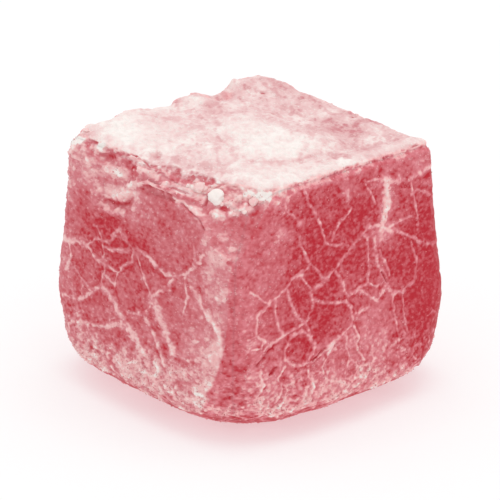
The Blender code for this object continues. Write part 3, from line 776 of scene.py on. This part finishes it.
def granules(points, size, seed):
    """Packed grains: a dome round the nearest of many random seeds, and that grain's own number.

    The dome is 1 - (distance / 0.75) ** 2, with the distance in grains.
    """
    nearest = np.full(len(points), np.inf)
    number = np.zeros(len(points))
    for seeds, own in nearby_seeds(points / size, 0.05, 0.95, 1, seed):
        gap = np.linalg.norm(points / size - seeds, axis=1)
        closer = gap < nearest
        nearest = np.where(closer, gap, nearest)
        number = np.where(closer, own[:, 0], number)
    return np.clip(1.0 - (nearest / 0.75) ** 2, 0.0, 1.0), number


def coat_depth(points, normals, creased, covered):
    """Depth of the starch in millimetres, 0 on bare jelly and below 0 in a pit, and its whiteness.

    The top has a caked layer with granular roughness, brushed streaks, heaps, thin places and creases,
    which are painted shade that greys its whiteness. It ends at the rims and behind the pared one. The
    sides have starch packed along the creases and clung in thick sheets, islands and specks that show
    where a grain's number is below the cover, and pits.
    """
    flat = points[:, :2]
    height = points[:, 2]
    brushed = points - 0.45 * np.outer(points @ BRUSHED_ALONG, BRUSHED_ALONG)
    smeared = np.where(normals[:, 2:] > 0.8, brushed, points * FINE_STRETCH)
    ragged = clouds(smeared, 0.5, 21, 3)
    bays = clouds(points, 1.3, 30, 2)
    dome, number = granules(smeared, GRAIN_SIZE, 22)
    small_dome, small_number = granules(smeared, SMALL_GRAIN_SIZE, 23)

    # The cake on the top.
    upward = ramp(normals[:, 2] + 0.05 * bays + 0.05 * ragged, 0.69, 0.85) * (height > HEIGHT / 2.0)
    behind = points[:, 1] - np.interp(points[:, 0], TOP_EDGE_X, TOP_EDGE_Y)
    behind = behind + 0.16 * bays + 0.08 * ragged
    on_top = upward * ramp(behind, -0.15, 0.15)
    rough = ease(0.3 + 0.8 * clouds(points, 2.2, 24, 2))
    caked = CAKE_DEPTH + 0.05 * clouds(points, 2.4, 25, 3) + 0.05 * clouds(points, 0.8, 27, 2)
    caked += (0.01 + 0.05 * rough) * dome * number + 0.02 * small_dome * small_number
    white = CAKE_WHITE + 0.035 * clouds(points, 2.4, 26, 3) + 0.05 * (dome * number - 0.3)
    white += 0.02 * clouds(brushed, 0.3, 33, 2)
    white -= CAKE_CREASE_SHADE * np.clip(line_depth(flat, TOP_CREASE_SHADES, 1.0 + 0.4 * bays), 0.0, 1.0)
    heaped = np.zeros(len(points))
    for *ellipse, deeper, whiter in HEAPS:
        heap = patches(flat, ((*ellipse, 1.0),))
        caked += deeper * heap
        white += HEAP_WHITENESS * whiter * heap
        heaped += heap * (whiter > 0.0)
    thin = 1.0 - np.clip(heaped, 0.0, 1.0)
    white += 0.055 * (0.15 + 0.85 * thin) * clouds(brushed, 0.9, 28, 3)
    white -= 0.13 * thin * ramp(clouds(brushed, 0.5, 36, 2), 0.25, 0.75)
    white -= 0.08 * thin * ramp(small_number, 0.80, 0.85) * ramp(small_dome, 0.32, 0.72)
    white -= 0.03 * ramp(points[:, 1], 2.0, 6.0)

    # The starch on the sides, and the fringe of the cake on the pared rim.
    low = ramp(height, 8.0, 3.0)
    fringe = ramp(behind, -1.3, 0.0) * (height > 19.0) * (points[:, 1] < -5.0)
    patchy = 0.90 + 0.32 * clouds(smeared, 0.30, 29, 2) + 0.08 * clouds(points, 1.6, 35)
    packed = ease(1.25 * creased + 0.34 * (creased > 0.0) * clouds(smeared, 0.2, 34))
    packed *= np.maximum(patchy, 0.6)
    covered = covered + (0.18 * fringe + 0.20 * ramp(height, 19.8, 20.8)) * (1.0 + 0.8 * ragged)
    clung = ramp(covered + 0.12 * ragged, 0.62, 0.82)
    island = ramp(0.50 * (covered - 0.16) + 0.12 * low - number, -0.04, 0.04)
    island *= ease(2.2 * dome - 0.4)
    speck = ramp(0.40 * covered - small_number, -0.03, 0.03) * ease(3.0 * small_dome - 0.8)
    pit = ramp(number, 0.90, 0.94) * ramp(dome, 0.32, 0.72) * ramp(covered, 0.24, 0.64)
    pit *= 1.0 - 0.7 * clung
    depth = PACKED_DEPTH * packed + ISLAND_DEPTH * island + SPECK_DEPTH * speck - PIT_DEPTH * pit
    depth += (0.05 + 0.04 * dome + 0.02 * small_dome) * clung
    depth += (caked - depth) * on_top
    side_white = covered + PACKED_WHITE * packed * (1.0 - 0.6 * clung)
    side_white += (ISLAND_WHITE + 0.06 * low + 0.10 * ramp(covered, 0.45, 0.65)) * island
    side_white += SPECK_WHITE * speck - PIT_WHITE * pit
    side_white += (0.46 + 0.26 * low) * small_dome * (small_number - 0.5) * (1.0 - 0.5 * clung)
    side_white -= 0.5 * np.clip(side_white - 0.72, 0.0, 0.5) * ramp(covered, 1.1, 0.9)
    # Whiteness fades to nothing at the base: a thin dark red line of painted contact shade where the cube
    # meets the floor.
    side_white *= ramp(height, -0.2, 0.8)
    return depth, np.clip(side_white + (white - side_white) * on_top, 0.02, 1.0)


fine_grid, fine_sides = cube_skin(COAT_CELLS)
fine_smooth = jelly_surface(fine_grid)
fine_normals = outward(fine_smooth, grid_squares(fine_sides))
coat_numbers = np.arange((COAT_CELLS + 1) ** 2).reshape(COAT_CELLS + 1, COAT_CELLS + 1)
middle = coat_numbers[COAT_CELLS // 2, COAT_CELLS // 2]
rim = np.concatenate([coat_numbers[:-1, 0], coat_numbers[-1, :-1], coat_numbers[:0:-1, -1],
                      coat_numbers[0, :0:-1]])
# The sheet's hidden back: walls down from its rim, and a fan to one point deep in the jelly.
back_rim = coat_numbers.size + np.arange(len(rim))
apex = np.full(len(rim), coat_numbers.size + len(rim))
walls = np.stack([rim, back_rim, np.roll(back_rim, -1), np.roll(rim, -1)], axis=1)
fan = np.stack([np.roll(back_rim, -1), back_rim, apex], axis=1)
sheets = []
for side_name, numbers in zip(("minus_x", "plus_x", "minus_y", "plus_y", "base", "top"), fine_sides):
    points = fine_smooth[numbers.ravel()]
    normals = fine_normals[numbers.ravel()]
    creased, covered, raised, painted_greyness = skin_fields(points, normals)
    depth, white = coat_depth(points, normals, creased, covered)
    depth *= ramp(points[:, 2], 0.0, FLAT_BELOW)
    outer = points + normals * (raised + depth)[:, None] + centring
    back = (points - BACK_DEPTH * normals + centring)[rim]
    deepest = points[middle] - 1.5 * BACK_DEPTH * normals[middle] + centring
    cover, painted_greyness = (np.append(values, np.full(len(rim) + 1, BACK_COVER)) for values in (white, painted_greyness))
    new_piece("coat_" + side_name, np.concatenate([outer, back, deepest[None]]),
              [grid_squares(coat_numbers), walls, fan], skin_looks, cover, painted_greyness)
    sheets.append((outer, normals, covered, depth))

# ---- Lumps of starch ----
# Damp starch that clung together in small balls, pressed on to the front corner of the top and
# along its rims.

LUMP_CELLS = 12
# The lumps that stand out, the whitest first: a place near each, and its radius.
LUMPS = (
    (6.6, -9.0, 20.05, 0.62), (4.9, -9.3, 20.5, 0.40), (5.3, -9.2, 20.5, 0.25),
    (9.5, -7.7, 20.2, 0.32), (8.4, -8.1, 20.3, 0.24), (7.2, -9.9, 18.8, 0.14),
    (9.4, -8.4, 19.4, 0.18), (7.4, -9.3, 19.7, 0.20), (3.7, -9.6, 20.3, 0.18),
    (8.7, -8.9, 19.2, 0.17), (-9.6, -9.4, 20.8, 0.24),
)
SMALL_LUMPS = 22  # scattered along the rims of the top
SMALL_LUMP_RADII = (0.07, 0.16)
RIM_HEIGHT = 19.4  # the rims lie above this level
RIM_UPRIGHT = (0.35, 0.93)  # the part of their normal that points up
LUMP_SWAY, LUMP_FLATTENED, LUMP_RAISED = 0.17, 0.45, 0.15  # shares of the radius


def lump(centre, facing, radius, draws):
    """A ball flattened against the skin, half sunk in it, and moved in and out by cloudy noise."""
    grid, sides = cube_skin(LUMP_CELLS)
    ball = grid / np.linalg.norm(grid, axis=1, keepdims=True)
    stretch = draws.uniform(0.8, 1.2, 3)
    swollen = 1.0 + LUMP_SWAY * clouds(ball + draws.uniform(0.0, 30.0, 3), 0.6, 31, 2)
    flattened = ball - LUMP_FLATTENED * np.outer(ball @ facing, facing)
    middle = centre + facing * radius * LUMP_RAISED
    points = middle + radius * flattened * stretch * swollen[:, None]
    return points, grid_squares(sides)


draws = np.random.default_rng(32)
coat_points, coat_normals, coat_covered, coat_thick = map(np.concatenate, zip(*sheets))
upright = coat_normals[:, 2]
places = [(np.argmin(np.linalg.norm(coat_points - near - centring, axis=1)), radius)
          for *near, radius in LUMPS]
near_rim = np.flatnonzero((coat_points[:, 2] > RIM_HEIGHT) & (upright > RIM_UPRIGHT[0])
                          & (upright < RIM_UPRIGHT[1]) & (coat_thick > 0.0))
places += [(spot, draws.uniform(*SMALL_LUMP_RADII)) for spot in draws.choice(near_rim, SMALL_LUMPS)]
lumps = [lump(coat_points[spot], coat_normals[spot], radius, draws) for spot, radius in places]
lump_size = len(lumps[0][0])
lump_points = np.concatenate([points for points, _ in lumps])
lump_faces = np.concatenate([squares + turn * lump_size for turn, (_, squares) in enumerate(lumps)])
lump_cover = np.repeat(draws.uniform(0.80, 0.92, len(lumps)), lump_size)
lump_cover[:lump_size] = 1.0
caked_looks = starched("caked starch", dusting, contrast=0.5, grain_height=0.02,
                       bare_rough=0.9, powder_rough=0.97, glow=0.1, glow_reach=0.2)
new_piece("starch_lumps", lump_points, [lump_faces], caked_looks, lump_cover, painted_greyness=0.4)

# ---- Loose grains ----
# Single grains of sugar and small crumbs of starch that stuck to the damp jelly, closest together
# where the cube was dusted most, low down and at its rims.

GRAINS = 11000
GRAIN_CORNERS = np.repeat(np.eye(3), 2, axis=0) * np.tile([1, -1], 3)[:, None]
GRAIN_SIDES = np.array([(0, 2, 4), (2, 1, 4), (1, 3, 4), (3, 0, 4),
                        (2, 0, 5), (1, 2, 5), (3, 1, 5), (0, 3, 5)])
SMALLEST_GRAIN, GRAIN_SPREAD = 0.03, 0.05  # the least radius, and how much more the largest has
GRAIN_STRAYS = 0.03  # how far off the skin a grain may lie
TOP_UPRIGHT = 0.7  # a normal that points up this much is on the top


def turned_any_way(count, draws):
    """Random rotation matrices, from unit quaternions."""
    w, x, y, z = draws.normal(size=(4, count))
    length = np.sqrt(w * w + x * x + y * y + z * z)
    w, x, y, z = w / length, x / length, y / length, z / length
    rows = [[1 - 2 * (y * y + z * z), 2 * (x * y - w * z), 2 * (x * z + w * y)],
            [2 * (x * y + w * z), 1 - 2 * (x * x + z * z), 2 * (y * z - w * x)],
            [2 * (x * z - w * y), 2 * (y * z + w * x), 1 - 2 * (x * x + y * y)]]
    return np.moveaxis(np.array(rows), 2, 0)


# A grain is likelier to stick where there is more starch and low down, and rarely lies on the top.
draws = np.random.default_rng(41)
likely = np.where(upright > TOP_UPRIGHT, 0.01, np.clip(coat_covered, 0.05, 0.8) ** 1.5)
likely *= 0.35 + 1.65 * ramp(coat_points[:, 2], 8.0, 3.0)
likely *= coat_points[:, 2] > 0.5
spots = draws.choice(len(coat_points), GRAINS, p=likely / likely.sum())
radii = SMALLEST_GRAIN + GRAIN_SPREAD * draws.uniform(size=GRAINS) ** 3.0
shapes = GRAIN_CORNERS[None] * draws.uniform(0.7, 1.25, (GRAINS, 1, 3)) * radii[:, None, None]
shapes = np.einsum("nij,nkj->nki", turned_any_way(GRAINS, draws), shapes)
centres = coat_points[spots] + draws.uniform(-GRAIN_STRAYS, GRAIN_STRAYS, (GRAINS, 3))
grain_points = (centres[:, None] + shapes).reshape(-1, 3)
corner_count = len(GRAIN_CORNERS)
grain_faces = (GRAIN_SIDES[None] + corner_count * np.arange(GRAINS)[:, None, None]).reshape(-1, 3)
grain_cover = np.where(upright[spots] > TOP_UPRIGHT, 0.92, draws.uniform(0.38, 0.70, GRAINS))
new_piece("loose_grains", grain_points, [grain_faces], caked_looks,
          np.repeat(grain_cover, corner_count), painted_greyness=0.3)

# ---- The studio ----
# A white sheet under soft white light from all round, with a broad lamp overhead. The sheet glows faintly
# red though it is no lamp, a painted glow: with its blue-green paper colour it reads white in full light,
# and it paints the shadow on it pink, standing in for the red light that passes through the jelly.

FLOOR_SIDE = 3.0  # metres, as is all below but the lens
PAPER_COLOUR = (0.36, 0.53, 0.51, 1.0)
PAPER_PAINTED_GLOW = (0.64, 0.475, 0.495, 1.0)
LAMP_PLACE = (0.0, 0.05, 0.6)
LENS = 406.0  # millimetres, a long lens
CAMERA_AWAY = 0.4643  # from what it looks at
AZIMUTH, ELEVATION = math.radians(50.0), math.radians(22.0)
LOOKED_AT = np.array([-0.0001, 0.0, 0.01105])

floor_mesh = bpy.data.meshes.new("floor")
reach = FLOOR_SIDE / 2.0
floor_mesh.from_pydata([(-reach, -reach, 0), (reach, -reach, 0), (reach, reach, 0), (-reach, reach, 0)],
                       [], [(0, 1, 2, 3)])
floor = put("floor", floor_mesh)
paper = bpy.data.materials.new("white paper")
paper.use_nodes = True
feed(paper.node_tree, paper.node_tree.nodes["Principled BSDF"], {
    "Base Color": PAPER_COLOUR, "Emission Color": PAPER_PAINTED_GLOW, "Emission Strength": 1.0,
    "Roughness": 0.9, "Specular IOR Level": 0.1})
floor_mesh.materials.append(paper)

world = bpy.data.worlds.new("white tent")
world.use_nodes = True
feed(world.node_tree, world.node_tree.nodes["Background"],
     {"Color": (1.0, 1.0, 1.0, 1.0), "Strength": 0.82})
bpy.context.scene.world = world

lamp_data = bpy.data.lights.new("overhead lamp", "AREA")
lamp_data.size = 0.5
lamp_data.energy = 1.0
lamp = put("overhead lamp", lamp_data)
lamp.location = LAMP_PLACE

camera_data = bpy.data.cameras.new("camera")
camera_data.lens = LENS
camera_data.clip_start = 0.01
camera_data.clip_end = 10.0
camera = put("camera", camera_data)
towards_camera = np.array([math.sin(AZIMUTH) * math.cos(ELEVATION),
                           -math.cos(AZIMUTH) * math.cos(ELEVATION), math.sin(ELEVATION)])
camera.location = LOOKED_AT + CAMERA_AWAY * towards_camera
camera.rotation_euler = (math.pi / 2.0 - ELEVATION, 0.0, AZIMUTH)
bpy.context.scene.camera = camera
bpy.context.scene.view_settings.view_transform = "Standard"

bpy.context.view_layer.update()
